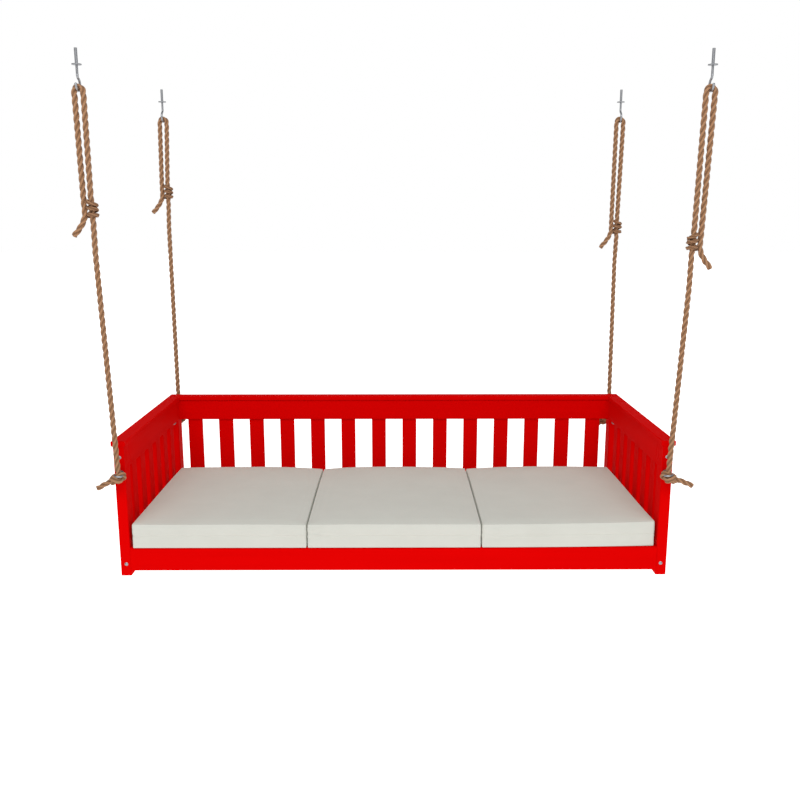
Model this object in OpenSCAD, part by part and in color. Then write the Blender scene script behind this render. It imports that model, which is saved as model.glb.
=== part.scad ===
// Porch swing daybed hung on four ropes from ceiling hooks.
// +Z is up, +X runs to the sitter's right as seen from the front, +Y runs from the open front to the back.
// The origin is on the ceiling, in the middle of the four hooks. Millimetres.

/* [Frame] */
// Clear width between the left and right posts
inner_w = 1956; // [1940:1:2000]
// Depth from the front of the front posts to the back of the back posts
frame_d = 864; // [840:1:900]
// Height of the posts, from the foot to the underside of the caps
post_h = 497; // [480:1:520]
// Width of a post seen from the front, and thickness of every rail
stock_t = 38; // [36:1:40]
// Depth of a post from front to back
post_d = 64; // [58:1:76]
// Height of every rail
rail_h = 89; // [85:1:92]
// Height of the lower rails above the foot
rail_lift = 19; // [16:1:22]
// Thickness of slats and caps
board_t = 19; // [17:1:21]
// Width of a cap
cap_w = 51; // [48:1:56]

/* [Slats] */
// Width of a back or side slat
slat_w = 63.5; // [55:0.5:68]
// Distance between the centres of two back slats
back_pitch = 140; // [130:1:142]
// Width of a deck slat under the cushions
deck_w = 89; // [80:1:95]

/* [Cushions] */
// Width of one cushion
cushion_w = 644; // [600:1:645]
// Depth of one cushion
cushion_d = 762; // [700:1:775]
// Height of one cushion
cushion_h = 95; // [80:1:120]

/* [Hanging] */
// Height of the ceiling above the feet
drop = 1800; // [1750:10:1900]
// Diameter of the rope
rope_t = 19; // [16:1:19]
// Distance of the front left hook from the middle
hook_front_left_x = 1036; // [1015:1:1055]
// Distance of the front right hook from the middle
hook_front_right_x = 1051; // [1015:1:1055]
// Distance of the back left hook from the middle
hook_back_left_x = 1001; // [980:1:1030]
// Distance of the back right hook from the middle
hook_back_right_x = 985; // [980:1:1030]

/* [Hidden] */
outer_w = inner_w + 2 * stock_t;
rail_z = post_h - rail_h;
deck_top = rail_lift + rail_h;
slat_n = 14;
side_slat_n = 6;
deck_n = 14;
side_span = frame_d - 2 * post_d;
side_gap = (side_span - side_slat_n * slat_w) / (side_slat_n + 1);
back_rail_y = frame_d - stock_t;
back_slat_y = back_rail_y + (stock_t - board_t) / 2;
cap_over = (cap_w - stock_t) / 2;
cap_front = 3;
ease = 2;
round_over = 9;

// Deck below the cushions
deck_front = stock_t;
deck_len = back_rail_y - deck_front;
deck_gap = (inner_w - deck_n * deck_w) / (deck_n + 1);
cleat_h = 38;
cleat_t = 25;
beam_h = deck_top - board_t - rail_lift;

// Cushions: left, middle and right centres, and the gap over the deck
cushion_x = [-644.5, 1.5, 647.5];
cushion_front = 6;
cushion_lift = 1;
cushion_r = 20;

// Bolts that hold the posts to the side rails
bolt_x = inner_w / 2 + stock_t / 2 - 2;
bolt_z = [45, 455];
bolt_r = 4;
bore_r = 4.2;
bolt_len = post_d + 44;
bolt_head_r = 7;
bolt_head_h = 3.5;
nut_bar_r = 6;
nut_bar_len = 24;
nut_bar_y = post_d + 34;
nut_bar_in = 6;

// Eye bolts: the ring lies flat and the rope passes down through it
eye_front_x = inner_w / 2 + stock_t / 2 - 7;
eye_back_x = inner_w / 2 + stock_t / 2;
eye_z = 398;
eye_out = 38;
eye_wire_r = 4;
eye_ring_r = 15.5;
eye_tail = 16;
washer_r = 9;
washer_t = 2;
nut_r = 7.5;
nut_t = 6.5;

// Ceiling hooks
hook_wire_r = 4;
hook_bend_r = 20;
hook_drop = 64;
hook_stud_r = 5;
hook_stud_len = 50;
hook_plate_r = 16;
hook_plate_t = 3;
hook_arc = 265;
hook_neck_r = 12;
hook_tip_r = 4.8;
hook_knuckle_r = 4.4;

// Wood screws
screw_r = 2.2;
screw_head_r = 4.2;
screw_proud = 0.4;
rail_screw_len = 82;
deck_screw_len = 42;

// Ropes: pivot heights, and the height of each hitch over its ring
rope_r = rope_t / 2;
ring_h = drop - eye_z;
fall = ring_h - hook_drop;
knot_r = 20;
knot_drop = 24;
knot_half = 9;
turn_r = 18;
hitch_core_r = 21;
loop_r = 14.8;
loop_z = fall - 0.7;
rise_x = -4;
fall_x = 21;
hitch_h = [933, 823, 1017, 865];

// Hook places, in the same order as the hitches: front left, front right, back left, back right
hook_x = [-hook_front_left_x, hook_front_right_x, -hook_back_left_x, hook_back_right_x];

// ---- Placing ----

// Moves a shape from the swing's own corner frame (foot level, front face) to the part's frame
module at_swing() {
    translate([0, -frame_d / 2, -drop]) children();
}

// Repeats a front-face shape on the back face, turned to face backwards
module facing(back) {
    if (back) translate([0, frame_d, 0]) mirror([0, 1, 0]) children();
    else children();
}

// A board with its long edges along Y slightly eased
module board_y(x, y, z) {
    translate([0, y, 0]) rotate([90, 0, 0]) linear_extrude(y) eased(x, z);
}

// A board with its long edges along X slightly eased
module board_x(x, y, z) {
    rotate([90, 0, 90]) linear_extrude(x) eased(y, z);
}

// A board standing on end, with its long edges along Z slightly eased
module board_z(x, y, z) {
    linear_extrude(z) eased(x, y);
}

// Section of a board with its four corners cut by the width of the eased edge
module eased(a, b) {
    polygon([[ease, 0], [a - ease, 0], [a, ease], [a, b - ease], [a - ease, b], [ease, b], [0, b - ease], [0, ease]]);
}

// A round bar along +Y
module bar_y(r, len) {
    rotate([-90, 0, 0]) cylinder(h = len, r = r, $fn = 48);
}

// A round bar along +X
module bar_x(r, len) {
    rotate([0, 90, 0]) cylinder(h = len, r = r, $fn = 48);
}

// ---- Wooden frame ----

// Post at one corner; side is -1 for left and 1 for right
module post(side, back) {
    color("red") at_swing() facing(back) difference() {
        translate([side * (inner_w + stock_t) / 2 - stock_t / 2, 0, 0]) board_z(stock_t, post_d, post_h);
        for (z = bolt_z) translate([side * bolt_x, -1, z]) bar_y(bore_r, post_d + 2);
        translate([side * eye_x(back), -1, eye_z]) bar_y(bore_r, post_d + 2);
    }
}

// Front rail with its top front edge rounded over
module front_rail() {
    color("red") at_swing() translate([-inner_w / 2, 0, rail_lift]) rotate([90, 0, 90]) linear_extrude(inner_w)
        difference() {
            eased(stock_t, rail_h);
            translate([-1, rail_h - round_over]) difference() {
                square(round_over + 1);
                translate([round_over + 1, 0]) circle(round_over, $fn = 48);
            }
        }
}

// Rail across the back, with its underside at height z
module back_rail(z) {
    color("red") at_swing() translate([-inner_w / 2, back_rail_y, z]) board_x(inner_w, stock_t, rail_h);
}

// Rail along one side, with bores for the frame bolt and its barrel nut at both ends
module side_rail(side, z, height) {
    color("red") at_swing() difference() {
        translate([side * (inner_w + stock_t) / 2 - stock_t / 2, post_d, z]) board_y(stock_t, side_span, rail_h);
        for (back = [false, true]) facing(back) {
            translate([side * bolt_x, post_d - 1, height]) bar_y(bore_r, 51);
            translate([side * outer_w / 2, nut_bar_y, height]) mirror([side > 0 ? 1 : 0, 0, 0])
                translate([-1, 0, 0]) bar_x(nut_bar_r + 0.2, nut_bar_len + 8);
        }
    }
}

module side_cap(side) {
    color("red") at_swing()
        translate([side * (inner_w + stock_t) / 2 - cap_w / 2, -cap_front, post_h])
            board_y(cap_w, frame_d + cap_front + cap_over, board_t);
}

module back_cap() {
    length = inner_w + stock_t - cap_w;
    color("red") at_swing() translate([-length / 2, back_rail_y - cap_over, post_h]) board_x(length, cap_w, board_t);
}

module back_slats() {
    color("red") at_swing()
        for (i = [0 : slat_n - 1])
            translate([(i - (slat_n - 1) / 2) * back_pitch - slat_w / 2, back_slat_y, deck_top])
                board_z(slat_w, board_t, rail_z - deck_top);
}

module side_slats(side) {
    color("red") at_swing()
        for (i = [0 : side_slat_n - 1])
            translate([side * (inner_w + stock_t) / 2 - board_t / 2, post_d + side_gap + i * (slat_w + side_gap), deck_top])
                board_z(board_t, slat_w, rail_z - deck_top);
}

// ---- Deck ----

// Left edge of deck slat number i
function deck_x(i) = -inner_w / 2 + deck_gap + i * (deck_w + deck_gap);

module deck_slats() {
    color("red") at_swing()
        for (i = [0 : deck_n - 1])
            translate([deck_x(i), deck_front, deck_top - board_t]) board_y(deck_w, deck_len, board_t);
}

// Two strips, one on each side of the centre beam, that carry the ends of the deck slats
module cleat(y) {
    half = inner_w / 2 - stock_t / 2;
    color("red") at_swing()
        for (x = [-inner_w / 2, stock_t / 2])
            translate([x, y, deck_top - board_t - cleat_h]) board_x(half, cleat_t, cleat_h);
}

module centre_beam() {
    color("red") at_swing() translate([-stock_t / 2, deck_front, rail_lift]) board_y(stock_t, deck_len, beam_h);
}

// ---- Metal parts ----

// Distance of a ring from the middle of the swing
function eye_x(back) = back ? eye_back_x : eye_front_x;

module eye_bolt(side, back) {
    color("silver") at_swing() facing(back) translate([side * eye_x(back), 0, eye_z]) {
        translate([0, -eye_out, 0]) rotate_extrude($fn = 64) translate([eye_ring_r, 0]) circle(eye_wire_r, $fn = 24);
        translate([0, eye_ring_r - eye_out, 0]) bar_y(eye_wire_r, eye_out - eye_ring_r + post_d + eye_tail);
    }
}

// Washers in front of and behind each post on the eye bolts
module eye_bolt_washers() {
    color("silver") at_swing()
        for (side = [-1, 1], back = [false, true], y = [-washer_t, post_d]) facing(back)
            translate([side * eye_x(back), y, eye_z]) difference() {
                bar_y(washer_r, washer_t);
                translate([0, -1, 0]) bar_y(eye_wire_r + 0.1, washer_t + 2);
            }
}

// Hexagonal nuts on both sides of each post on the eye bolts
module eye_bolt_nuts() {
    color("silver") at_swing()
        for (side = [-1, 1], back = [false, true], y = [-washer_t - nut_t, post_d + washer_t]) facing(back)
            translate([side * eye_x(back), y, eye_z]) rotate([-90, 0, 0]) difference() {
                cylinder(h = nut_t, r = nut_r, $fn = 6);
                translate([0, 0, -1]) cylinder(h = nut_t + 2, r = eye_wire_r + 0.1, $fn = 48);
            }
}

// Carriage bolts with low domed heads
module frame_bolts() {
    dome_r = (bolt_head_r * bolt_head_r + bolt_head_h * bolt_head_h) / (2 * bolt_head_h);
    color("silver") at_swing()
        for (side = [-1, 1], back = [false, true], z = bolt_z) facing(back) translate([side * bolt_x, 0, z]) {
            bar_y(bolt_r, bolt_len);
            intersection() {
                translate([0, dome_r - bolt_head_h, 0]) sphere(dome_r, $fn = 64);
                translate([0, -bolt_head_h, 0]) bar_y(bolt_head_r + 1, bolt_head_h);
            }
        }
}

// Barrel nuts that lie across the side rails and take the frame bolts
module barrel_nuts() {
    color("silver") at_swing()
        for (side = [-1, 1], back = [false, true], z = bolt_z) facing(back)
            translate([side * (outer_w / 2 - nut_bar_in), nut_bar_y, z]) mirror([side > 0 ? 1 : 0, 0, 0]) difference() {
                bar_x(nut_bar_r, nut_bar_len);
                translate([outer_w / 2 - nut_bar_in - bolt_x, -10, 0]) bar_y(bolt_r + 0.2, 20);
            }
}

// One wood screw pointing along +Z, its head a little proud of the wood at height 0
module wood_screw(len) {
    translate([0, 0, -screw_proud]) cylinder(h = 3, r1 = screw_head_r, r2 = screw_r, $fn = 48);
    cylinder(h = len, r = screw_r, $fn = 48);
}

// Screws through the posts into the ends of the front and back rails
module rail_screws() {
    color("silver") at_swing()
        for (side = [-1, 1], spot = [[stock_t / 2, rail_lift + 42], [stock_t / 2, rail_lift + 70],
                [frame_d - stock_t / 2, rail_lift + 42], [frame_d - stock_t / 2, rail_lift + 70],
                [frame_d - stock_t / 2, rail_z + 20], [frame_d - stock_t / 2, rail_z + 72]])
            translate([side * outer_w / 2, spot[0], spot[1]]) rotate([0, -side * 90, 0]) wood_screw(rail_screw_len);
}

// Screws through the deck slats into the strips at the front and back
module deck_screws() {
    color("silver") at_swing()
        for (i = [0 : deck_n - 1], y = [deck_front + cleat_t / 2, back_rail_y - cleat_t / 2])
            translate([deck_x(i) + deck_w / 2, y, deck_top]) mirror([0, 0, 1]) wood_screw(deck_screw_len);
}

// Screw hook: the shank swings out over a small neck bend and runs round into the large bend that holds the rope
module hook(side, back) {
    x = hook_x[corner(side, back)];
    y = (back ? 1 : -1) * (frame_d / 2 + eye_out);
    neck_rise = sqrt((hook_bend_r + hook_neck_r) ^ 2 - hook_neck_r ^ 2);
    neck_turn = atan(neck_rise / hook_neck_r);
    neck_z = neck_rise - hook_drop;
    color("silver") translate([x, y, 0]) mirror([0, y > 0 ? 1 : 0, 0]) {
        cylinder(h = hook_stud_len, r = hook_stud_r, $fn = 48);
        translate([0, 0, -hook_plate_t]) cylinder(h = hook_plate_t, r = hook_plate_r, $fn = 64);
        translate([0, 0, neck_z]) cylinder(h = -neck_z, r = hook_wire_r, $fn = 48);
        translate([0, 0, neck_z]) sphere(hook_knuckle_r, $fn = 32);
        translate([0, hook_neck_r, neck_z]) rotate([0, 90, 0]) rotate([0, 0, -90]) {
            rotate_extrude(angle = neck_turn, $fn = 64) translate([hook_neck_r, 0]) circle(hook_wire_r, $fn = 24);
            rotate([0, 0, neck_turn]) translate([hook_neck_r, 0, 0]) sphere(hook_knuckle_r, $fn = 32);
        }
        translate([0, 0, -hook_drop]) rotate([0, 90, 0]) rotate([0, 0, 180 - hook_arc]) {
            rotate_extrude(angle = hook_arc + neck_turn - 90, $fn = 64)
                translate([hook_bend_r, 0]) circle(hook_wire_r, $fn = 24);
            translate([hook_bend_r, 0, 0]) sphere(hook_tip_r, $fn = 32);
        }
    }
}

// ---- Soft parts ----

module cushion(x) {
    size = [cushion_w, cushion_d, cushion_h];
    color("beige") at_swing() translate([x - cushion_w / 2, cushion_front, deck_top + cushion_lift]) hull()
        for (a = [0, 1], b = [0, 1], c = [0, 1])
            translate([
                a ? size[0] - cushion_r : cushion_r,
                b ? size[1] - cushion_r : cushion_r,
                c ? size[2] - cushion_r : cushion_r
            ]) sphere(cushion_r, $fn = 24);
}

// ---- Ropes ----

// Route of a rope beside its load line: sideways offset and height over the ring, for a hitch at height h.
// It starts at the tail under the stopper knot, goes up through the ring, over the hook, and down to the hitch.
function rope_route(h) = concat(
    [[76, -52], [58, -44], [36, -33], [15, -26], [2, -16], [0, 0], [0, h - 150], [rise_x, h - 35], [rise_x, h + 40]],
    [for (a = [180 : -22.5 : 0]) [loop_r * cos(a), loop_z - hook_bend_r + loop_r * sin(a)]],
    [[fall_x, h + 40], [fall_x, h - 15], [28, h - 36], [44, h - 60], [66, h - 85]]
);

// Point of a rope in the part's frame; bend is the side its tail leans to, shift the way its top leans
function rope_point(p, ring, bend, shift, shift_far) = [
    ring[0] + bend * p[0] + shift * max(p[1], 0) / shift_far,
    ring[1],
    ring[2] + p[1]
];

function unit(v) = v / norm(v);

// Direction of a line of points at point i
function heading(line, i) = unit(line[min(i + 1, len(line) - 1)] - line[max(i - 1, 0)]);

// Tube of radius r along a line of points that never runs along Y
module tube(line, r, sides) {
    count = len(line);
    rings = [
        for (i = [0 : count - 1])
            let (t = heading(line, i), a = unit(cross(t, [0, 1, 0])), b = cross(a, t))
                for (k = [0 : sides - 1]) line[i] + r * (a * cos(360 * k / sides) + b * sin(360 * k / sides))
    ];
    walls = [
        for (i = [0 : count - 2], k = [0 : sides - 1])
            let (p = i * sides + k, q = i * sides + (k + 1) % sides)
                each [[p, q, p + sides], [q, q + sides, p + sides]]
    ];
    first = [for (k = [sides - 1 : -1 : 0]) k];
    last = [for (k = [0 : sides - 1]) (count - 1) * sides + k];
    polyhedron(rings, concat(walls, [first, last]));
}

function ring_at(side, back) = [side * eye_x(back), (back ? 1 : -1) * (frame_d / 2 + eye_out), -ring_h];

// Number of a corner in the lists of hooks and hitches
function corner(side, back) = (back ? 2 : 0) + (side > 0 ? 1 : 0);

// How far the hook stands to the right of its ring
function lean(side, back) = hook_x[corner(side, back)] - side * eye_x(back);

module rope(side, back, bend) {
    route = rope_route(hitch_h[corner(side, back)]);
    line = [for (p = route) rope_point(p, ring_at(side, back), bend, lean(side, back), fall)];
    color("peru") tube(line, rope_r, 10);
}

module stopper_knot(side, back) {
    color("peru") translate(ring_at(side, back) - [0, 0, knot_drop]) hull()
        for (x = [-knot_half, knot_half]) translate([x, 0, 0]) sphere(knot_r, $fn = 24);
}

// Three turns round the pair of strands
module hitch(side, back) {
    h = hitch_h[corner(side, back)];
    color("peru") translate(ring_at(side, back) + [lean(side, back) * h / fall, 0, h]) {
        translate([0, 0, -rope_t]) cylinder(h = 2 * rope_t, r = hitch_core_r, $fn = 48);
        for (z = [-rope_t, 0, rope_t]) translate([0, 0, z])
            rotate_extrude($fn = 48) translate([turn_r, 0]) circle(rope_r, $fn = 24);
    }
}

// ---- Output ----

post(-1, false);  // post_front_left
post(1, false);  // post_front_right
post(-1, true);  // post_back_left
post(1, true);  // post_back_right
front_rail();
back_rail(rail_lift);  // back_bottom_rail
back_rail(rail_z);  // back_top_rail
side_rail(-1, rail_lift, bolt_z[0]);  // side_bottom_rail_left
side_rail(1, rail_lift, bolt_z[0]);  // side_bottom_rail_right
side_rail(-1, rail_z, bolt_z[1]);  // side_top_rail_left
side_rail(1, rail_z, bolt_z[1]);  // side_top_rail_right
side_cap(-1);  // side_cap_left
side_cap(1);  // side_cap_right
back_cap();
back_slats();
side_slats(-1);  // side_slats_left
side_slats(1);  // side_slats_right
deck_slats();
cleat(deck_front);  // cleat_front
cleat(back_rail_y - cleat_t);  // cleat_back
centre_beam();
eye_bolt(-1, false);  // eye_bolt_front_left
eye_bolt(1, false);  // eye_bolt_front_right
eye_bolt(-1, true);  // eye_bolt_back_left
eye_bolt(1, true);  // eye_bolt_back_right
eye_bolt_washers();
eye_bolt_nuts();
frame_bolts();
barrel_nuts();
rail_screws();
deck_screws();
cushion(cushion_x[0]);  // cushion_left
cushion(cushion_x[1]);  // cushion_middle
cushion(cushion_x[2]);  // cushion_right
rope(-1, false, -1);  // rope_front_left
rope(1, false, 1);  // rope_front_right
rope(-1, true, -1);  // rope_back_left
rope(1, true, -1);  // rope_back_right
stopper_knot(-1, false);  // stopper_knot_front_left
stopper_knot(1, false);  // stopper_knot_front_right
stopper_knot(-1, true);  // stopper_knot_back_left
stopper_knot(1, true);  // stopper_knot_back_right
hitch(-1, false);  // hitch_front_left
hitch(1, false);  // hitch_front_right
hitch(-1, true);  // hitch_back_left
hitch(1, true);  // hitch_back_right
hook(-1, false);  // hook_front_left
hook(1, false);  // hook_front_right
hook(-1, true);  // hook_back_left
hook(1, true);  // hook_back_right
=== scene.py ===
"""Porch swing daybed hung on four ropes: the looks of every piece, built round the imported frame."""

import logging
import math
from dataclasses import dataclass, field
from enum import Enum

import bpy
import numpy as np
from mathutils import Matrix, Vector


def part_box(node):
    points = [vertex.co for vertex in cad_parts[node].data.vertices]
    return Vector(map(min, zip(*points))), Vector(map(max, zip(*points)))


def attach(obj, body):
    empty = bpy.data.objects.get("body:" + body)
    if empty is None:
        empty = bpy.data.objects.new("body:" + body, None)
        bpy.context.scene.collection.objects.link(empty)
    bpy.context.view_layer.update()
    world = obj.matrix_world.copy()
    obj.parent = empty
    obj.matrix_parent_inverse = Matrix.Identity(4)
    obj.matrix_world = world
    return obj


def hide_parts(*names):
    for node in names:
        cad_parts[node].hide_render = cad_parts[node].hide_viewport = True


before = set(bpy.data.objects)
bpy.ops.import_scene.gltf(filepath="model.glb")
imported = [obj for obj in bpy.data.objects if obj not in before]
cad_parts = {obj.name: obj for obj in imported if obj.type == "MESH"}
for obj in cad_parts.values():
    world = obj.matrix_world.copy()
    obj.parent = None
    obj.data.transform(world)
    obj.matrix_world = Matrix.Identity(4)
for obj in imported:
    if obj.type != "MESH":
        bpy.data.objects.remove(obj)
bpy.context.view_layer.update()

log = logging.getLogger("porch_swing")
MM = 0.001


class Run(Enum):
    """The way a board's grain runs, as the axis it is stretched along."""

    ACROSS = (1.0, 14.0, 14.0)
    DEEP = (14.0, 1.0, 14.0)
    UPRIGHT = (14.0, 14.0, 1.0)


class Side(Enum):
    """Which side of the swing a corner is on, as the sign of its X."""

    LEFT = -1.0
    RIGHT = 1.0


# ---------------------------------------------------------------- surfaces


@dataclass
class Shell:
    """One surface: its points, its faces, and for each face corner a place in the pattern map.

    Its painted-shade mark is 1 in the valleys of a laid rope and 0 on its crowns.
    """

    points: np.ndarray
    faces: np.ndarray
    corners: np.ndarray
    rope_shade: np.ndarray
    caps: list[list[int]] = field(default_factory=list)


def unit(v: np.ndarray) -> np.ndarray:
    """Rows of v scaled to length one."""
    return v / np.maximum(np.linalg.norm(v, axis=-1, keepdims=True), 1e-12)


def arc_lengths(line: np.ndarray) -> np.ndarray:
    """Distance along a line of points, from its start to each point."""
    return np.r_[0.0, np.cumsum(np.linalg.norm(np.diff(line, axis=0), axis=1))]


def eased_route(points: np.ndarray, step: float, ease: float) -> np.ndarray:
    """A route made smooth and evenly spaced.

    The straight line between the points is sampled every step metres, each sample becomes the average of its
    neighbours under a bell curve of width ease, and both ends stay where they are.

    Args:
        points: corner points of the route, one row each.
        step: distance between the samples.
        ease: width of the bell curve, in metres.

    Returns:
        The samples, one row each.
    """
    along = arc_lengths(points)
    count = max(int(round(along[-1] / step)), 8)
    spots = np.linspace(0.0, along[-1], count + 1)
    line = np.stack([np.interp(spots, along, points[:, k]) for k in range(3)], axis=1)
    reach = max(int(3 * ease / step), 1)
    bell = np.exp(-0.5 * (np.arange(-reach, reach + 1) * step / ease) ** 2)
    bell /= bell.sum()
    head = 2 * line[0] - line[reach:0:-1]
    tail = 2 * line[-1] - line[-2 : -reach - 2 : -1]
    long = np.concatenate([head, line, tail])
    return np.stack([np.convolve(long[:, k], bell, mode="valid") for k in range(3)], axis=1)


def laid_rope(
    line: np.ndarray,
    thick: float,
    lay: float,
    guide: tuple[float, float, float],
    closed: bool = False,
    squeeze: float = 1.0,
    extra_shade: float = 0.0,
    sides: int = 36,
) -> Shell:
    """Surface of a rope of three strands along a line.

    The section is the outline of three touching circles. Around the middle, the radius at an angle f from the
    nearest strand is c*cos(f) + sqrt(s*s - c*c*sin(f)*sin(f)), where s is the radius of a strand and c the
    distance of its middle from the rope's middle. The section turns once round for each lay length travelled.

    Args:
        line: the rope's centreline.
        thick: diameter over all.
        lay: length in which a strand goes once round.
        guide: a direction that the line never runs along.
        closed: whether the line's end joins its start.
        squeeze: factor on the thickness where the rope is pulled tight.
        extra_shade: painted shade added evenly over the whole surface, from 0 to 1, as for the shade between tight
            turns.
        sides: points round one section.

    Returns:
        The surface, with its length and its way round as the pattern map.
    """
    outer = squeeze * thick / 2
    strand = outer / (1 + 2 / math.sqrt(3))
    centre = outer - strand
    if closed:
        ahead = unit(np.roll(line, -1, axis=0) - np.roll(line, 1, axis=0))
        travel = arc_lengths(np.vstack([line, line[:1]]))
        turns = max(round(travel[-1] / lay * 3), 1) / 3
        twist = 2 * math.pi * turns * travel[:-1] / travel[-1]
        travel = travel[:-1]
    else:
        ahead = unit(np.gradient(line, axis=0))
        travel = arc_lengths(line)
        twist = 2 * math.pi * travel / lay
    east = unit(np.cross(ahead, np.array(guide)))
    north = np.cross(east, ahead)
    angle = np.linspace(0.0, 2 * math.pi, sides, endpoint=False)
    third = 2 * math.pi / 3
    around = np.mod(angle[None, :] - twist[:, None] + third / 2, third) - third / 2
    root = np.sqrt(np.maximum(strand**2 - (centre * np.sin(around)) ** 2, 0.0))
    valley = 0.66 * outer
    radius = np.maximum(centre * np.cos(around) + root, valley)
    ring = (
        east[:, None, :] * np.cos(angle)[None, :, None]
        + north[:, None, :] * np.sin(angle)[None, :, None]
    )
    points = line[:, None, :] + radius[:, :, None] * ring
    # Painted shade mark: 1 deep in the valleys between strands, 0 on the crowns, raised everywhere by the extra
    # shade.
    rope_shade = np.clip((outer - radius) / (outer - valley) + extra_shade, 0.0, 1.0)
    count = len(line)
    rows = np.arange(count if closed else count - 1)
    i, j = np.meshgrid(rows, np.arange(sides), indexing="ij")
    i2, j2 = (i + 1) % count, (j + 1) % sides
    faces = np.stack(
        [i * sides + j, i2 * sides + j, i2 * sides + j2, i * sides + j2], axis=-1
    ).reshape(-1, 4)
    reach = np.append(travel, travel[-1] + np.linalg.norm(line[0] - line[-1]))
    width = angle[1] * outer
    corners = np.stack(
        [
            np.stack([reach[i], j * width], axis=-1),
            np.stack([reach[i + 1], j * width], axis=-1),
            np.stack([reach[i + 1], (j + 1) * width], axis=-1),
            np.stack([reach[i], (j + 1) * width], axis=-1),
        ],
        axis=2,
    ).reshape(-1, 2)
    shell = Shell(points.reshape(-1, 3), faces, corners, rope_shade.reshape(-1))
    if not closed:
        shell = cut_ends(shell, line, ahead, outer, sides)
    return shell


def cut_ends(
    shell: Shell, line: np.ndarray, ahead: np.ndarray, outer: float, sides: int
) -> Shell:
    """Closes both ends of a rope with a worn cut: a smaller ring a little further out, and a flat face in it.

    Args:
        shell: the open rope.
        line: its centreline.
        ahead: direction of the line at each point.
        outer: radius over the strands.
        sides: points round one section.

    Returns:
        The closed rope.
    """
    count = len(shell.points)
    # The last of these three is how much darker the ring at each end and the flat face in it are coloured, on the
    # rope's painted-shade scale.
    inset, proud, end_dark = 0.72, 0.14 * outer, 0.4
    first, last = shell.points[:sides], shell.points[-sides:]
    inner_first = line[0] + (first - line[0]) * inset - ahead[0] * proud
    inner_last = line[-1] + (last - line[-1]) * inset + ahead[-1] * proud
    k = np.arange(sides)
    k2 = (k + 1) % sides
    rim_first = np.stack([count + k, k, k2, count + k2], axis=-1)
    base = count - sides
    rim_last = np.stack(
        [base + k, count + sides + k, count + sides + k2, base + k2], axis=-1
    )
    rims = np.concatenate([rim_first, rim_last])
    shell.caps = [
        [int(n) for n in count + k[::-1]],
        [int(n) for n in count + sides + k],
    ]
    shell.points = np.concatenate([shell.points, inner_first, inner_last])
    shell.faces = np.concatenate([shell.faces, rims])
    shell.corners = np.concatenate([shell.corners, np.zeros((len(rims) * 4, 2))])
    shell.rope_shade = np.concatenate([shell.rope_shade, np.full(2 * sides, end_dark)])
    return shell


def add_object(name: str, data: bpy.types.ID) -> bpy.types.Object:
    """Makes an object and links it to the scene."""
    made = bpy.data.objects.new(name, data)
    bpy.context.scene.collection.objects.link(made)
    return made


def piece_from(name: str, shells: list[Shell]) -> bpy.types.Object:
    """Makes one object of several surfaces, with faces that point outwards.

    A surface whose enclosed volume comes out negative is inside out, so its faces are turned round.

    Args:
        name: the piece's name.
        shells: its surfaces.

    Returns:
        The new object, linked to the scene.
    """
    points, faces, corners, rope_shade, start = [], [], [], [], 0
    for s in shells:
        quads, maps = s.faces, s.corners.reshape(-1, 4, 2)
        a, b, c = (s.points[quads[:, n]] for n in (0, 1, 2))
        inside_out = np.einsum("ij,ij->i", a, np.cross(b, c)).sum() < 0
        caps = s.caps
        if inside_out:
            quads, maps = quads[:, ::-1], maps[:, ::-1]
            caps = [cap[::-1] for cap in caps]
        points.append(s.points)
        faces += (quads + start).tolist() + [[n + start for n in cap] for cap in caps]
        corners.append(maps.reshape(-1, 2))
        corners.append(np.zeros((sum(len(cap) for cap in caps), 2)))
        rope_shade.append(s.rope_shade)
        start += len(s.points)
    mesh = bpy.data.meshes.new(name)
    mesh.from_pydata(np.concatenate(points).tolist(), [], faces)
    layer = mesh.uv_layers.new(name="pattern")
    layer.data.foreach_set("uv", np.concatenate(corners).astype(np.float32).ravel())
    marks = mesh.attributes.new("rope_shade", "FLOAT", "POINT")
    marks.data.foreach_set("value", np.concatenate(rope_shade).astype(np.float32))
    mesh.shade_smooth()
    mesh.update()
    return add_object(name, mesh)


def read_points(mesh: bpy.types.Mesh) -> np.ndarray:
    """All vertex places of a mesh, one row each."""
    flat = np.empty(len(mesh.vertices) * 3, np.float32)
    mesh.vertices.foreach_get("co", flat)
    return flat.reshape(-1, 3).astype(float)


# ---------------------------------------------------------------- finishes


Colour = tuple[float, float, float]
Socket = bpy.types.NodeSocket


class Nodes:
    """Short ways to add and join the nodes of one tree."""

    def __init__(self, tree: bpy.types.NodeTree) -> None:
        """Keeps the tree."""
        self.tree = tree

    def feed(self, value: object, socket: Socket) -> None:
        """Links a socket to an input, or sets the input to a number or a colour."""
        if isinstance(value, Socket):
            self.tree.links.new(value, socket)
        else:
            socket.default_value = value

    def add(self, kind: str, **values: object) -> bpy.types.Node:
        """Adds a node and sets its properties and inputs.

        Args:
            kind: the node's class name without ShaderNode.
            values: a property by its name, or an input by its name with underscores for spaces, as a socket to
                link or a value to set.

        Returns:
            The node.
        """
        node = self.tree.nodes.new("ShaderNode" + kind)
        for key, value in values.items():
            if hasattr(node, key):
                setattr(node, key, value)
            else:
                self.feed(value, node.inputs[key.replace("_", " ")])
        return node

    def math(self, operation: str, a: object, b: object = 0.0) -> Socket:
        """Adds a Math node on two sockets or numbers and returns its output."""
        node = self.add("Math", operation=operation)
        for socket, value in zip(node.inputs, (a, b)):
            self.feed(value, socket)
        return node.outputs[0]

    def blend(self, mask: Socket, a: Socket | Colour, b: Socket | Colour) -> Socket:
        """Mixes colour a into colour b by a mask, each a socket or a colour, and returns the colour."""
        node = self.add("Mix", data_type="RGBA")
        self.feed(mask, node.inputs[0])
        for place, value in ((6, a), (7, b)):
            self.feed(value if isinstance(value, Socket) else (*value, 1.0), node.inputs[place])
        return node.outputs[2]


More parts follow.
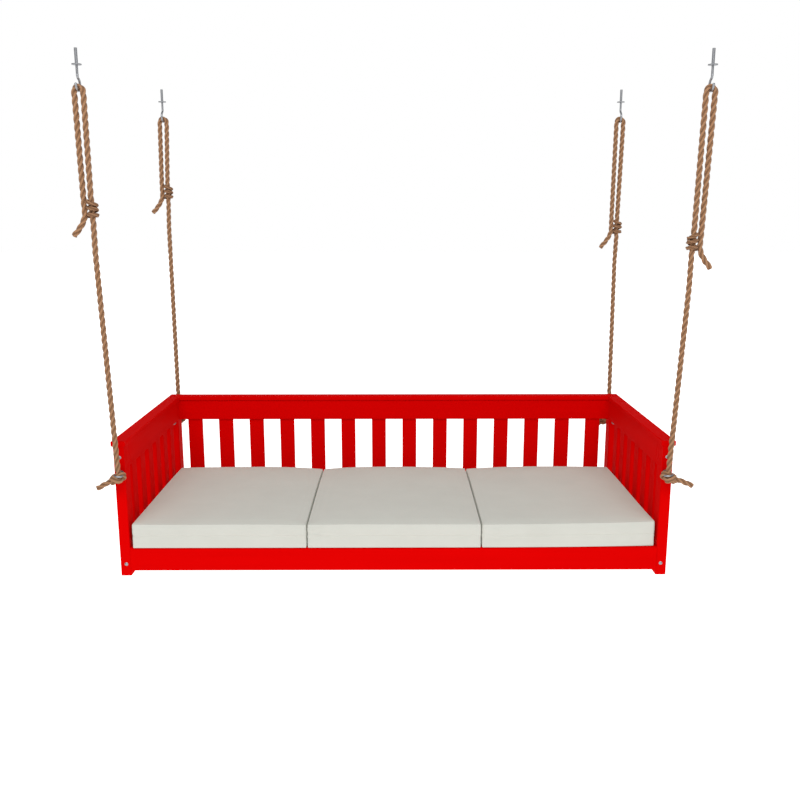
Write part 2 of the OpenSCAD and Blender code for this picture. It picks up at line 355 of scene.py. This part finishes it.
def new_group(name: str, ins: dict[str, float | None], outs: list[str]) -> tuple:
    """Starts a shader node group.

    Args:
        name: the group's name.
        ins: its inputs, each with its usual number, or None for a vector.
        outs: its number outputs.

    Returns:
        The group, its Nodes helper, the sockets of its input node by name, and those of its output node.
    """
    tree = bpy.data.node_groups.new(name, "ShaderNodeTree")
    for key, value in ins.items():
        kind = "NodeSocketVector" if value is None else "NodeSocketFloat"
        socket = tree.interface.new_socket(key, in_out="INPUT", socket_type=kind)
        if value is not None:
            socket.default_value = value
    for key in outs:
        tree.interface.new_socket(key, in_out="OUTPUT", socket_type="NodeSocketFloat")
    start, end = tree.nodes.new("NodeGroupInput"), tree.nodes.new("NodeGroupOutput")
    return tree, Nodes(tree), start.outputs, end.inputs


def grain_group() -> bpy.types.NodeTree:
    """Grain that shows through paint: long fine ridges with broad soft waves, and a mask of thin and thick paint."""
    tree, n, given, result = new_group(
        "painted_grain", {"Vector": None, "Fine": 60.0, "Broad": 6.0}, ["Height", "Mask"]
    )
    fine = n.add("TexNoise", Detail=5.0, Roughness=0.6, Vector=given["Vector"], Scale=given["Fine"])
    broad = n.add("TexNoise", Detail=2.0, Roughness=0.5, Vector=given["Vector"], Scale=given["Broad"])
    n.feed(n.math("ADD", n.math("MULTIPLY", fine.outputs[0], 0.6), broad.outputs[0]), result["Height"])
    n.feed(n.math("SMOOTH_MIN", broad.outputs[0], 0.9), result["Mask"])
    return tree


def weave_group() -> bpy.types.NodeTree:
    """Plain weave on all sides, and a mask of slow blotches.

    The weave is the sum of three waves, one along each axis, so that any flat side shows two of them crossing.

    Returns:
        The group.
    """
    tree, n, given, result = new_group(
        "plain_weave", {"Vector": None, "Threads": 1500.0, "Slub": 9.0}, ["Height", "Mask"]
    )
    split = n.add("SeparateXYZ", Vector=given["Vector"])
    waves = [n.math("SINE", n.math("MULTIPLY", out, given["Threads"])) for out in split.outputs]
    total = n.math("ADD", n.math("ADD", waves[0], waves[1]), waves[2])
    slub = n.add("TexNoise", Detail=6.0, Roughness=0.65, Vector=given["Vector"], Scale=given["Slub"])
    n.feed(n.math("MULTIPLY", total, 0.33), result["Height"])
    n.feed(slub.outputs[0], result["Mask"])
    return tree


def yarn_group() -> bpy.types.NodeTree:
    """Yarns of a laid rope: stripes across the pattern map, broken up along their length, with loose fibres."""
    tree, n, given, result = new_group("rope_yarns", {"Vector": None, "Yarns": 2600.0}, ["Height", "Mask"])
    stretch = n.add("Mapping", Scale=(60.0, 900.0, 1.0), Vector=given["Vector"])
    fibres = n.add("TexNoise", Detail=4.0, Roughness=0.7, Scale=1.0, Vector=stretch.outputs[0])
    split = n.add("SeparateXYZ", Vector=given["Vector"])
    slant = n.math("ADD", split.outputs[1], n.math("MULTIPLY", split.outputs[0], 0.22))
    wobble = n.math("ADD", n.math("MULTIPLY", slant, given["Yarns"]), fibres.outputs[0])
    stripe = n.math("MULTIPLY", n.math("SINE", wobble), 0.5)
    n.feed(n.math("ADD", stripe, fibres.outputs[0]), result["Height"])
    n.feed(fibres.outputs[0], result["Mask"])
    return tree


def tarnish_group() -> bpy.types.NodeTree:
    """Uneven zinc: small spangles over slow dull patches."""
    tree, n, given, result = new_group("zinc", {"Vector": None, "Spangle": 400.0}, ["Mask"])
    cells = n.add("TexVoronoi", Vector=given["Vector"], Scale=given["Spangle"])
    patch = n.add("TexNoise", Scale=90.0, Detail=3.0, Vector=given["Vector"])
    n.feed(n.math("MULTIPLY", cells.outputs[0], patch.outputs[0]), result["Mask"])
    return tree


class Workshop:
    """The shared node groups, each made once."""

    def __init__(self) -> None:
        """Makes all groups."""
        self.grain = grain_group()
        self.weave = weave_group()
        self.yarns = yarn_group()
        self.zinc = tarnish_group()

    @staticmethod
    def place(nodes: Nodes, tree: bpy.types.NodeTree, **values: object) -> bpy.types.bpy_prop_collection:
        """Puts a group in a material with its own values, and returns its outputs."""
        node = nodes.add("Group", node_tree=tree)
        for key, value in values.items():
            nodes.feed(value, node.inputs[key])
        return node.outputs


def blank(name: str) -> tuple[bpy.types.Material, Nodes, bpy.types.Node]:
    """A material with only its surface shader.

    Args:
        name: the material's name.

    Returns:
        The material, its Nodes helper and its Principled node.
    """
    made = bpy.data.materials.new(name)
    made.use_nodes = True
    return made, Nodes(made.node_tree), made.node_tree.nodes["Principled BSDF"]


def set_inputs(shader: bpy.types.Node, **values: object) -> None:
    """Sets inputs of a shader by their names, with underscores for spaces."""
    for key, value in values.items():
        shader.inputs[key.replace("_", " ")].default_value = value


def raise_bumps(n: Nodes, height: Socket, shader: bpy.types.Node, depth: float, strength: float) -> None:
    """Feeds a height to the shader's normal, depth metres deep."""
    bump = n.add("Bump", Distance=depth, Strength=strength, Height=height)
    n.feed(bump.outputs[0], shader.inputs["Normal"])


@dataclass(frozen=True)
class Paint:
    """Red paint brushed on wood, which tints what lies near it less than its own colour would."""

    thin: Colour = (0.72, 0.0004, 0.0004)
    thick: Colour = (0.82, 0.0006, 0.0006)
    bounce: Colour = (0.77, 0.30, 0.22)
    rough: float = 0.5
    shine: float = 0.005
    fine: float = 11.0
    broad: float = 1.6
    depth: float = 0.4 * MM
    relief: float = 0.35

    def material(self, shop: Workshop, run: Run) -> bpy.types.Material:
        """Builds the paint for boards whose grain runs one way.

        Args:
            shop: the shared groups.
            run: the way the grain runs.

        Returns:
            The material.
        """
        made, n, shader = blank(f"red_paint_{run.name.lower()}")
        where = n.add("TexCoord").outputs["Object"]
        turn = n.add("Mapping", Scale=run.value, Vector=where)
        grain = shop.place(n, shop.grain, Fine=self.fine, Broad=self.broad, Vector=turn.outputs[0])
        brushed = n.blend(grain["Mask"], self.thin, self.thick)
        bounced = n.add("LightPath").outputs["Is Diffuse Ray"]
        n.feed(n.blend(bounced, brushed, self.bounce), shader.inputs["Base Color"])
        set_inputs(shader, Roughness=self.rough, Specular_IOR_Level=self.shine)
        raise_bumps(n, grain["Height"], shader, self.depth, self.relief)
        return made


@dataclass(frozen=True)
class Canvas:
    """Off-white woven cushion cover."""

    pale: Colour = (0.745, 0.75, 0.685)
    shade: Colour = (0.665, 0.67, 0.607)
    rough: float = 0.9
    shine: float = 0.15
    fuzz: float = 0.15
    fuzz_rough: float = 0.6
    threads: float = 2400.0
    slub: float = 7.0
    thread_tint: float = 0.12
    depth: float = 0.35 * MM
    relief: float = 0.5

    def material(self, shop: Workshop) -> bpy.types.Material:
        """Builds the cover fabric."""
        made, n, shader = blank("cushion_canvas")
        where = n.add("TexCoord").outputs["Object"]
        weave = shop.place(n, shop.weave, Threads=self.threads, Slub=self.slub, Vector=where)
        mask = n.math("ADD", weave["Mask"], n.math("MULTIPLY", weave["Height"], self.thread_tint))
        n.feed(n.blend(mask, self.shade, self.pale), shader.inputs["Base Color"])
        set_inputs(shader, Roughness=self.rough, Specular_IOR_Level=self.shine)
        set_inputs(shader, Sheen_Weight=self.fuzz, Sheen_Roughness=self.fuzz_rough)
        raise_bumps(n, weave["Height"], shader, self.depth, self.relief)
        return made


@dataclass(frozen=True)
class Fibre:
    """Natural rope fibre, with painted shade between the strands."""

    # deep is the painted shade colour that the valleys between strands go towards.
    deep: Colour = (0.095, 0.038, 0.016)
    mid: Colour = (0.37, 0.180, 0.085)
    light: Colour = (0.64, 0.36, 0.195)
    rough: float = 0.85
    shine: float = 0.2
    fuzz: float = 0.1
    yarns: float = 2600.0
    rope_shade_strength: float = 0.62
    depth: float = 0.8 * MM
    relief: float = 0.7

    def material(self, shop: Workshop) -> bpy.types.Material:
        """Builds the rope's material on its own pattern map and its painted-shade mark."""
        made, n, shader = blank("rope_fibre")
        where = n.add("UVMap", uv_map="pattern").outputs[0]
        yarns = shop.place(n, shop.yarns, Yarns=self.yarns, Vector=where)
        body = n.blend(yarns["Mask"], self.mid, self.light)
        # Painted shade: the colour goes towards deep in the valleys between strands, by the rope's shade mark.
        rope_shade = n.add("Attribute", attribute_name="rope_shade").outputs["Fac"]
        shade_amount = n.math("MULTIPLY", rope_shade, self.rope_shade_strength)
        n.feed(n.blend(shade_amount, body, self.deep), shader.inputs["Base Color"])
        set_inputs(shader, Roughness=self.rough, Specular_IOR_Level=self.shine, Sheen_Weight=self.fuzz)
        raise_bumps(n, yarns["Height"], shader, self.depth, self.relief)
        return made


@dataclass(frozen=True)
class Zinc:
    """Zinc-plated steel, brighter and smoother in places."""

    bright: Colour = (0.46, 0.47, 0.49)
    dull: Colour = (0.24, 0.25, 0.265)
    smoothest: float = 0.25
    rougher: float = 0.4
    spangle: float = 500.0
    depth: float = 0.2 * MM
    relief: float = 0.3

    def material(self, shop: Workshop) -> bpy.types.Material:
        """Builds the steel's plating."""
        made, n, shader = blank("zinc_steel")
        where = n.add("TexCoord").outputs["Object"]
        mask = shop.place(n, shop.zinc, Spangle=self.spangle, Vector=where)["Mask"]
        rough = n.math("ADD", n.math("MULTIPLY", mask, self.rougher), self.smoothest)
        n.feed(n.blend(mask, self.bright, self.dull), shader.inputs["Base Color"])
        n.feed(rough, shader.inputs["Roughness"])
        set_inputs(shader, Metallic=1.0)
        raise_bumps(n, mask, shader, self.depth, self.relief)
        return made


# ---------------------------------------------------------------- wooden frame and metal parts


@dataclass
class Timber:
    """The painted boards, which keep the shapes they are packed with."""

    paint: Paint = field(default_factory=Paint)
    across: tuple[str, ...] = (
        "front_rail",
        "back_bottom_rail",
        "back_top_rail",
        "back_cap",
        "cleat_front",
        "cleat_back",
    )
    deep: tuple[str, ...] = (
        "side_bottom_rail_left",
        "side_bottom_rail_right",
        "side_top_rail_left",
        "side_top_rail_right",
        "side_cap_left",
        "side_cap_right",
        "deck_slats",
        "centre_beam",
    )
    upright: tuple[str, ...] = (
        "post_front_left",
        "post_front_right",
        "post_back_left",
        "post_back_right",
        "back_slats",
        "side_slats_left",
        "side_slats_right",
    )

    def dress(self, shop: Workshop) -> None:
        """Gives every board the paint whose grain runs its way."""
        for run, names in (
            (Run.ACROSS, self.across),
            (Run.DEEP, self.deep),
            (Run.UPRIGHT, self.upright),
        ):
            made = self.paint.material(shop, run)
            for name in names:
                coat(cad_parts[name], made)
            log.info("painted %d boards %s", len(names), run.name.lower())


@dataclass
class Ironwork:
    """Bolts, nuts, washers, screws and hooks, which keep the shapes they are packed with."""

    zinc: Zinc = field(default_factory=Zinc)
    words: tuple[str, ...] = ("bolt", "nuts", "washers", "screws", "hook")

    def dress(self, shop: Workshop) -> None:
        """Plates every node whose name says that it is a metal part."""
        made = self.zinc.material(shop)
        for name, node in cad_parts.items():
            if any(word in name for word in self.words):
                coat(node, made)
                log.info("plated %s", name)


def coat(piece: bpy.types.Object, made: bpy.types.Material) -> None:
    """Puts one material on every slot of a piece."""
    if not piece.material_slots:
        piece.data.materials.append(made)
    for place in piece.material_slots:
        place.material = made


# ---------------------------------------------------------------- ropes


@dataclass
class Rope:
    """One corner's rope: the stopper knot under its ring, the long fall, the loop on the hook and the hitch.

    bend is the sign of X towards which the tails point, hitch the height of the hitch over the ring, and fall the
    height of the hook over the ring. The loop's half circle has its middle loop_under below the hook. The rope
    rises to the hook at rise_x and comes back down at fall_x, both sideways from the ring. knot_drop and knot_side
    move the stopper knot from its ring, and so does knot_back at the back corners only. tail is how far the knot's
    short end goes sideways and up, lay the length in which a strand goes once round, and plump a factor on the
    thickness.
    """

    corner: str
    side: Side
    back: bool
    bend: float
    hitch: float
    hook_x: float
    fibre: bpy.types.Material
    ring_front_x: float = 990 * MM
    ring_back_x: float = 997 * MM
    ring_y: float = 470 * MM
    ring_z: float = -1402 * MM
    fall: float = 1338 * MM
    thick: float = 19 * MM
    lay: float = 82 * MM
    rise_x: float = -4 * MM
    fall_x: float = 21 * MM
    loop: float = 14.8 * MM
    loop_under: float = 20.7 * MM
    knot_drop: float = 9 * MM
    knot_side: float = 6 * MM
    knot_back: float = 4 * MM
    tail: tuple[float, float] = (0.078, -0.047)
    plump: float = 1.08

    def place(self, flat: np.ndarray) -> np.ndarray:
        """Turns sideways offsets and heights over the ring into points, leaning with the fall.

        Args:
            flat: rows of (sideways offset towards the tail, offset to the back, height over the ring).

        Returns:
            The points in the row frame.
        """
        ring_x = self.side.value * (self.ring_back_x if self.back else self.ring_front_x)
        lean = (self.hook_x - ring_x) / self.fall
        height = flat[:, 2]
        x = ring_x + self.bend * flat[:, 0] + lean * np.maximum(height, 0.0)
        y = (self.ring_y if self.back else -self.ring_y) + flat[:, 1]
        return np.stack([x, y, self.ring_z + height], axis=1)

    def route(self) -> np.ndarray:
        """The rope's route from its ring up, over the hook and down to the tail of the hitch."""
        h, top = self.hitch, self.fall - self.loop_under
        rise = [(0, -0.006), (0, 0.1), (0, h - 0.15), (self.rise_x, h - 0.035), (self.rise_x, h + 0.04)]
        turn = np.radians(np.arange(180, -1, -15))
        loop = np.stack([self.loop * np.cos(turn), top + self.loop * np.sin(turn)], axis=1)
        drop = [
            (self.fall_x, h + 0.04),
            (self.fall_x, h - 0.015),
            (0.028, h - 0.036),
            (0.044, h - 0.06),
            (0.066, h - 0.085),
        ]
        flat = np.concatenate([np.array(rise), loop, np.array(drop)])
        flat = np.stack([flat[:, 0], np.zeros(len(flat)), flat[:, 1]], axis=1)
        return self.place(flat)

    def turns(self) -> np.ndarray:
        """Three wraps round the standing part: an oval helix, two turns close together and one lower down."""
        t = np.linspace(0.0, 6 * math.pi, 160)
        level = np.interp(
            t / math.pi,
            [0.0, 1.0, 2.0, 3.0, 4.0, 5.0, 6.0],
            [0.031, 0.017, 0.009, 0.004, -0.012, -0.016, -0.021],
        )
        near, far, deep = 12.5 * MM, 16.5 * MM, 14.5 * MM
        x = self.rise_x + np.where(np.cos(t) > 0, near, far) * np.cos(t)
        y = -deep * np.sin(t)
        return self.place(np.stack([x, y, self.hitch + level], axis=1))

    def knot(self) -> np.ndarray:
        """The stopper's overhand knot: a three-lobed curve drawn tight.

        Its plan is (sin t + 2 sin 2t, cos t - 2 cos 2t), and it rises and falls as sin 3t.
        """
        t = np.linspace(0.0, 2 * math.pi, 72, endpoint=False) + 0.6 * self.bend
        wide, deep, tall, tip = 9.0 * MM, 6.84 * MM, 9.8 * MM, math.radians(16)
        x = self.knot_side + wide * (np.sin(t) + 2 * np.sin(2 * t))
        y = deep * (np.cos(t) - 2 * np.cos(2 * t)) + (self.knot_back if self.back else 0.0)
        z = -tall * np.sin(3 * t)
        flat = np.stack([x * math.cos(tip) + z * math.sin(tip), y, z * math.cos(tip) - x * math.sin(tip)], axis=1)
        return self.place(flat - [0, 0, self.knot_drop])

    def stub(self) -> np.ndarray:
        """The short end that leaves the stopper knot sideways."""
        far, low = self.tail
        share = np.array([1.0, 0.78, 0.48, 0.2, 0.0])
        fall = np.array([1.0, 0.8, 0.52, 0.36, 0.3])
        return self.place(np.stack([far * share, np.zeros(5), low * fall], axis=1))

    def build(self) -> None:
        size = {"thick": self.thick, "lay": -self.lay}
        back, up = (0.0, 1.0, 0.0), (0.0, 0.0, 1.0)
        line = eased_route(self.route(), 4 * MM, 5 * MM)
        stub = eased_route(self.stub(), 4 * MM, 6 * MM)
        fall = laid_rope(line, guide=back, squeeze=self.plump, **size)
        # The turns of the hitch get extra painted shade all over, for the shade between the tight wraps.
        turns = laid_rope(self.turns(), guide=up, squeeze=0.7, extra_shade=0.36, **size)
        loops = laid_rope(self.knot(), guide=up, closed=True, squeeze=1.04, **size)
        end = laid_rope(stub, guide=back, squeeze=self.plump, **size)
        rope = piece_from(f"laid_rope_{self.corner}", [fall])
        hitch = piece_from(f"hitch_turns_{self.corner}", [turns])
        knot = piece_from(f"overhand_knot_{self.corner}", [loops, end])
        for made, node in (
            (rope, f"rope_{self.corner}"),
            (hitch, f"hitch_{self.corner}"),
            (knot, f"stopper_knot_{self.corner}"),
        ):
            made.data.materials.append(self.fibre)
            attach(made, f"rope_{self.corner}")
            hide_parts(node)


# ---------------------------------------------------------------- cushions

FRAMES = 20
COVER = {
    "use_pressure": True,
    "uniform_pressure_force": 4.0,
    "tension_stiffness": 20.0,
    "compression_stiffness": 12.0,
    "bending_stiffness": 1.2,
    "quality": 5,
}


@dataclass
class Cushion:
    """A boxed cushion: a foam block in a woven cover with a welted top edge and a seam round its middle.

    dips says how many millimetres the top sinks at its front left, front right, back left and back right corner,
    and pucker how many millimetres deep the creases at the front left corner are. recede is how far the front
    right corner is pushed back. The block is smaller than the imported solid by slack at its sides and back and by
    lowered at its top, and it stands ahead of it by overhang at the front. edge and edge_low are the radii at the
    top and at the bottom, and swell_up and swell_out how far the filling may push the cover.
    """

    place: str
    seed: int
    canvas: bpy.types.Material
    dips: tuple[float, float, float, float] = (0.0, 0.0, 10.0, 10.0)
    recede: float = 0.0
    slack: float = 1.2 * MM
    overhang: float = 11 * MM
    pucker: float = 1.5
    edge: float = 8 * MM
    edge_low: float = 3 * MM
    lowered: float = 0.5 * MM
    swell_up: float = 6 * MM
    swell_out: float = 1.5 * MM

    def stations(self, size: float, cells: int) -> np.ndarray:
        """Places of the grid lines along one side of the block, closer together near its ends."""
        near = np.array([0.0, 0.3, 0.7, 1.0]) * self.edge
        mid = np.linspace(near[-1], size - near[-1], cells + 1)
        return np.concatenate([near[:-1], mid, (size - near[:-1])[::-1]])

    def block(self) -> tuple[np.ndarray, np.ndarray, np.ndarray]:
        """A block with rounded edges, as one closed grid of four-sided faces.

        Every grid point on the outside of the block is drawn in to the inner box that is smaller by the edge
        radius, and then pushed out again by that radius in the direction it came from.

        Returns:
            The points, the faces, and for each point its grid place (i, j, k).
        """
        low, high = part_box(f"cushion_{self.place}")
        low = np.array(low) + [self.slack, -self.overhang, 0.0]
        high = np.array(high) - [self.slack, self.slack, self.lowered]
        size = high - low
        xs, ys = self.stations(size[0], 46), self.stations(size[1], 56)
        half = [0, 0.04, 0.09, 0.15, 0.25, 0.35, 0.43, 0.47]
        zs = np.array([*half, 0.5, 0.53, 0.57, 0.65, 0.75, 0.85, 0.91, 0.96, 1]) * size[2]
        grid = [len(xs) - 1, len(ys) - 1, len(zs) - 1]
        quads = []
        for axis in range(3):
            u, v = (axis + 1) % 3, (axis + 2) % 3
            a, b = np.meshgrid(np.arange(grid[u]), np.arange(grid[v]), indexing="ij")
            for level, order in ((0, (0, 3, 2, 1)), (grid[axis], (0, 1, 2, 3))):
                ring = []
                for da, db in ((0, 0), (1, 0), (1, 1), (0, 1)):
                    spot = np.zeros((*a.shape, 3), int)
                    spot[..., axis], spot[..., u], spot[..., v] = level, a + da, b + db
                    ring.append(spot.reshape(-1, 3))
                quads.append(np.stack([ring[n] for n in order], axis=1))
        spots = np.concatenate(quads).reshape(-1, 3)
        key = (spots[:, 0] * 1000 + spots[:, 1]) * 1000 + spots[:, 2]
        _, first, faces = np.unique(key, return_index=True, return_inverse=True)
        spots = spots[first]
        raw = np.stack([xs[spots[:, 0]], ys[spots[:, 1]], zs[spots[:, 2]]], axis=1)
        edge = self.edge_low + (self.edge - self.edge_low) * raw[:, 2:] / size[2]
        core = np.clip(raw, edge, size - edge)
        away = raw - core
        reach = np.linalg.norm(away, axis=1, keepdims=True)
        points = core + np.where(reach > 0, away / np.maximum(reach, 1e-9) * edge, 0.0)
        return points + low, faces.reshape(-1, 4), spots

    def swell(self, made: bpy.types.Object, pinned: np.ndarray) -> np.ndarray:
        """Blows the cover up a little with a cloth simulation.

        Args:
            made: the cushion.
            pinned: numbers of the points that stay, on the deck and along the welt.

        Returns:
            How far each point has moved.
        """
        rest = read_points(made.data)
        group = made.vertex_groups.new(name="held")
        group.add(pinned.tolist(), 1.0, "REPLACE")
        cloth = made.modifiers.new("cover", "CLOTH")
        for key, value in COVER.items():
            setattr(cloth.settings, key, value)
        cloth.settings.vertex_group_mass = group.name
        cloth.settings.effector_weights.gravity = 0.0
        cloth.point_cache.frame_start, cloth.point_cache.frame_end = 1, FRAMES
        scene = bpy.context.scene
        for number in range(1, FRAMES + 1):
            scene.frame_set(number)
        seen = made.evaluated_get(bpy.context.evaluated_depsgraph_get())
        after = read_points(seen.data)
        made.modifiers.remove(cloth)
        made.vertex_groups.clear()
        scene.frame_set(1)
        return after - rest

    def sewn(self, points: np.ndarray, spots: np.ndarray, grid: np.ndarray) -> np.ndarray:
        """Adds the seams and creases that the cover has once it is filled.

        A welt stands out along the top edge between two shallow valleys. The seam round the middle is a narrow
        valley, and the cover stands out a little more over it than under it. Short level creases fan out from
        the upright corners, and long slow waves run over the top and the sides. The top sinks at its corners.

        Args:
            points: the swollen cover.
            spots: grid place of each point.
            grid: number of grid cells on each axis.

        Returns:
            The points with the seams.
        """
        rng = np.random.default_rng(self.seed)
        seam, beside_seam, upper_half, welt, under_welt = -1.8, -0.7, 1.8, 1.0, -0.6
        usual_pucker, crease_reach, margin = 1.2, 60 * MM, 30 * MM
        low, high = points.min(axis=0), points.max(axis=0)
        share = (points - low) / (high - low)
        inner = np.clip(points, low + margin, high - margin)
        out = points - inner
        out[:, 2] = 0.0
        flat_out = unit(out) * (np.linalg.norm(out, axis=1, keepdims=True) > 1e-6)
        on_wall = np.any(spots[:, :2] % grid[:2] == 0, axis=1)
        from_seam = np.abs(spots[:, 2] - grid[2] / 2)
        push = np.where(from_seam == 0, seam, np.where(from_seam == 1, beside_seam, 0.0))
        push += np.where(spots[:, 2] > grid[2] / 2, upper_half, 0.0)
        top_edge = on_wall & (spots[:, 2] == grid[2])
        below = on_wall & (spots[:, 2] == grid[2] - 1)
        push += np.where(top_edge, welt, 0.0) + np.where(below, under_welt, 0.0)
        near_x = np.minimum(points[:, 0] - low[0], high[0] - points[:, 0])
        near_y = np.minimum(points[:, 1] - low[1], high[1] - points[:, 1])
        corner = np.exp(-np.maximum(near_x, near_y) / crease_reach)
        corner *= np.where((share[:, 0] < 0.5) & (share[:, 1] < 0.5), self.pucker, usual_pucker)
        phase = rng.uniform(0, 6.28, 6)
        crease = np.sin(points[:, 2] * 240 + phase[0] + 9 * np.sin(points[:, 0] * 7 + phase[1]))
        push += corner * crease * np.sin(np.pi * share[:, 2]) * (share[:, 2] > 0.05)
        slow = np.sin(points[:, 0] * 23 + phase[2]) * np.sin(points[:, 2] * 60 + phase[3])
        push += np.where(share[:, 2] < 0.5, 0.9, 0.5) * slow * np.sin(np.pi * share[:, 2])
        outward = flat_out * [0.3, 1.0, 0.0]
        moved = points + outward * (push * on_wall * MM)[:, None]
        across, deep = share[:, 0], share[:, 1]
        near = [(1 - across) * (1 - deep), across * (1 - deep), (1 - across) * deep, across * deep]
        dip = sum(fall * close**5 for fall, close in zip(self.dips, near))
        moved[:, 1] += self.recede * across**2 * (1 - deep) ** 4
        wave = 0.7 * np.sin(points[:, 0] * 11 + phase[4]) * np.sin(points[:, 1] * 8 + phase[5])
        high_up = np.clip(share[:, 2] * 2 - 1, 0, 1)
        moved[:, 2] += high_up * (wave - dip) * MM
        inside_welt = np.any((spots[:, :2] == 1) | (spots[:, :2] == grid[:2] - 1), axis=1)
        valley = (spots[:, 2] == grid[2]) & ~on_wall & inside_welt
        moved[:, 2] += np.where(top_edge, 0.6 * MM, 0.0) - np.where(valley, 0.8 * MM, 0.0)
        return moved

    def build(self) -> None:
        """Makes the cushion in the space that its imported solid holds."""
        points, faces, spots = self.block()
        grid = spots.max(axis=0)
        mesh = bpy.data.meshes.new(f"canvas_cushion_{self.place}")
        mesh.from_pydata(points.tolist(), [], faces.tolist())
        made = add_object(mesh.name, mesh)
        outer = np.any(spots[:, :2] % grid[:2] == 0, axis=1)
        pinned = np.flatnonzero((spots[:, 2] == 0) | (outer & (spots[:, 2] == grid[2])))
        move = self.swell(made, pinned)
        limit = np.array([self.swell_out, self.swell_out, self.swell_up])
        move = limit * np.tanh(move / limit)
        move[:, 2] = np.where(spots[:, 2] == 0, 0.0, move[:, 2])
        log.info("cushion %s swells by up to %.4f m", self.place, float(np.abs(move).max()))
        points = self.sewn(points + move, spots, grid)
        mesh.vertices.foreach_set("co", points.astype(np.float32).ravel())
        mesh.shade_smooth()
        mesh.update()
        soft = made.modifiers.new("soft", "SUBSURF")
        soft.levels = soft.render_levels = 1
        mesh.materials.append(self.canvas)
        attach(made, f"cushion_{self.place}")
        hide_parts(f"cushion_{self.place}")


# ---------------------------------------------------------------- studio


@dataclass
class Studio:
    """Camera, floor, sky and two large soft lamps in front.

    lamp_at is the place of the right lamp, and lamp_aim the point on the seat that both face. ambient and
    floor_glow are how strongly the surroundings and the floor give light.
    """

    lens: float = 39.44
    spot: tuple[float, float, float] = (0.0082, -3.5069, -0.4991)
    tilt_down: float = 0.2032
    turn_right: float = 0.0048
    roll: float = -0.0002
    floor_z: float = -2.12
    floor_half: float = 40.0
    floor_pale: float = 0.9
    floor_glow: float = 0.45
    ambient: float = 0.46
    lamp_power: float = 66.0
    lamp_size: tuple[float, float] = (3.2, 2.4)
    lamp_at: tuple[float, float, float] = (1.43, -3.92, 2.62)
    lamp_aim: tuple[float, float, float] = (0.0, 0.0, -1.55)

    def camera(self) -> None:
        """Makes the camera from its lens, place, and how far it looks down and to the right."""
        data = bpy.data.cameras.new("camera")
        data.lens, data.sensor_width = self.lens, 36.0
        made = add_object("camera", data)
        down, turn = self.tilt_down, self.turn_right
        ahead = Vector(
            (math.sin(turn) * math.cos(down), math.cos(turn) * math.cos(down), -math.sin(down))
        )
        right = Vector((math.cos(turn), -math.sin(turn), 0.0))
        up = right.cross(ahead)
        c, s = math.cos(self.roll), math.sin(self.roll)
        right, up = c * right + s * up, c * up - s * right
        matrix = Matrix((right, up, -ahead)).transposed().to_4x4()
        matrix.translation = Vector(self.spot)
        made.matrix_world = matrix
        bpy.context.scene.camera = made

    def floor(self) -> None:
        """Makes a wide pale floor below the swing, as bright to the eye as the backdrop it meets."""
        half, white = self.floor_half, (1.0, 1.0, 1.0, 1.0)
        mesh = bpy.data.meshes.new("floor")
        corners = [(-half, -half), (half, -half), (half, half), (-half, half)]
        mesh.from_pydata([(x, y, self.floor_z) for x, y in corners], [], [(0, 1, 2, 3)])
        made = add_object("floor", mesh)
        pale, n, shader = blank("pale_floor")
        set_inputs(shader, Base_Color=(*[self.floor_pale] * 3, 1.0), Emission_Color=white)
        set_inputs(shader, Roughness=1.0, Specular_IOR_Level=0.0)
        seen = n.add("LightPath").outputs["Is Camera Ray"]
        n.feed(n.math("MAXIMUM", seen, self.floor_glow), shader.inputs["Emission Strength"])
        mesh.materials.append(pale)

    def sky(self) -> None:
        """Sets the white surroundings, dimmer as light than as backdrop."""
        world = bpy.data.worlds.new("studio")
        world.use_nodes = True
        n = Nodes(world.node_tree)
        sky = world.node_tree.nodes["Background"]
        seen = n.add("LightPath").outputs["Is Camera Ray"]
        set_inputs(sky, Color=(1.0, 1.0, 1.0, 1.0))
        n.feed(n.math("MAXIMUM", seen, self.ambient), sky.inputs["Strength"])
        bpy.context.scene.world = world

    def lamps(self) -> None:
        """Hangs two large lamps in front, one on each side, aimed at the seat."""
        across, deep, high = self.lamp_at
        for side in Side:
            data = bpy.data.lights.new(f"lamp_{side.name.lower()}", "AREA")
            data.shape, (data.size, data.size_y) = "RECTANGLE", self.lamp_size
            data.energy = self.lamp_power
            made = add_object(data.name, data)
            made.location = (side.value * across, deep, high)
            aim = Vector(self.lamp_aim) - made.location
            made.rotation_euler = aim.to_track_quat("-Z", "Y").to_euler()

    def build(self) -> None:
        """Makes the camera and everything round the swing."""
        self.camera()
        self.floor()
        self.sky()
        self.lamps()
        bpy.context.scene.view_settings.view_transform = "Standard"
        log.info("studio ready")


# ---------------------------------------------------------------- all together


def main() -> None:
    """Builds the studio, the ropes, the painted frame, the metal parts and the cushions, in that order."""
    logging.basicConfig(level=logging.INFO, format="%(name)s: %(message)s")
    shop = Workshop()
    Studio().build()
    fibre = Fibre().material(shop)
    ropes = (
        Rope("front_left", Side.LEFT, False, -1.0, 0.933, -1.036, fibre),
        Rope("front_right", Side.RIGHT, False, 1.0, 0.823, 1.051, fibre, tail=(0.09, -0.04)),
        Rope("back_left", Side.LEFT, True, -1.0, 1.017, -1.001, fibre),
        Rope("back_right", Side.RIGHT, True, -1.0, 0.865, 0.985, fibre),
    )
    for rope in ropes:
        rope.build()
    Timber().dress(shop)
    Ironwork().dress(shop)
    canvas = Canvas().material(shop)
    for cushion in (
        Cushion("left", 4, canvas, dips=(0.0, 3.0, 6.0, 15.0)),
        Cushion("middle", 5, canvas, dips=(3.0, 2.0, 15.0, 12.0), pucker=4.5),
        Cushion("right", 6, canvas, dips=(3.0, -6.0, 15.0, 5.0), recede=15 * MM, pucker=3.0),
    ):
        cushion.build()


if __name__ == "__main__":
    main()
